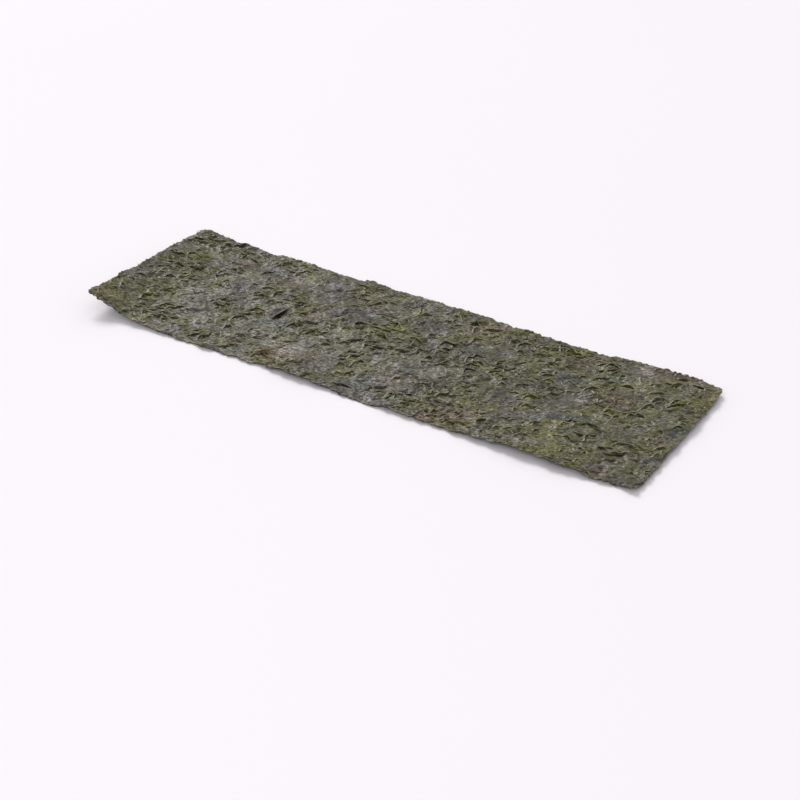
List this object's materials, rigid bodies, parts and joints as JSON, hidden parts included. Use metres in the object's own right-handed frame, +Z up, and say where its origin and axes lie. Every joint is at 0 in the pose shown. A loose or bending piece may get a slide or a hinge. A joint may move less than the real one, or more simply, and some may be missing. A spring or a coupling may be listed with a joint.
{
  "type": "nori sheet",
  "caption": "Thin rectangular strip of toasted, seasoned nori seaweed, crinkled and mottled dark green, with ragged cut edges, gentle waves and one curled corner",
  "frame": {"origin": "on the surface the sheet rests on, under the middle of its box", "axes": "+X along the strip, away from the curled end; +Y across it, to the long edge that faces away from the viewer; +Z up, out of the rougher face"},
  "size_m": [0.0954, 0.0312, 0.0038],
  "materials": {
    "toasted_weed": "crinkled dried seaweed with a satin oily shine, mottled green-black, olive and grey-violet"
  },
  "bodies": {
    "root": {"nori_sheet": "toasted_weed"}
  },
  "joints": []
}
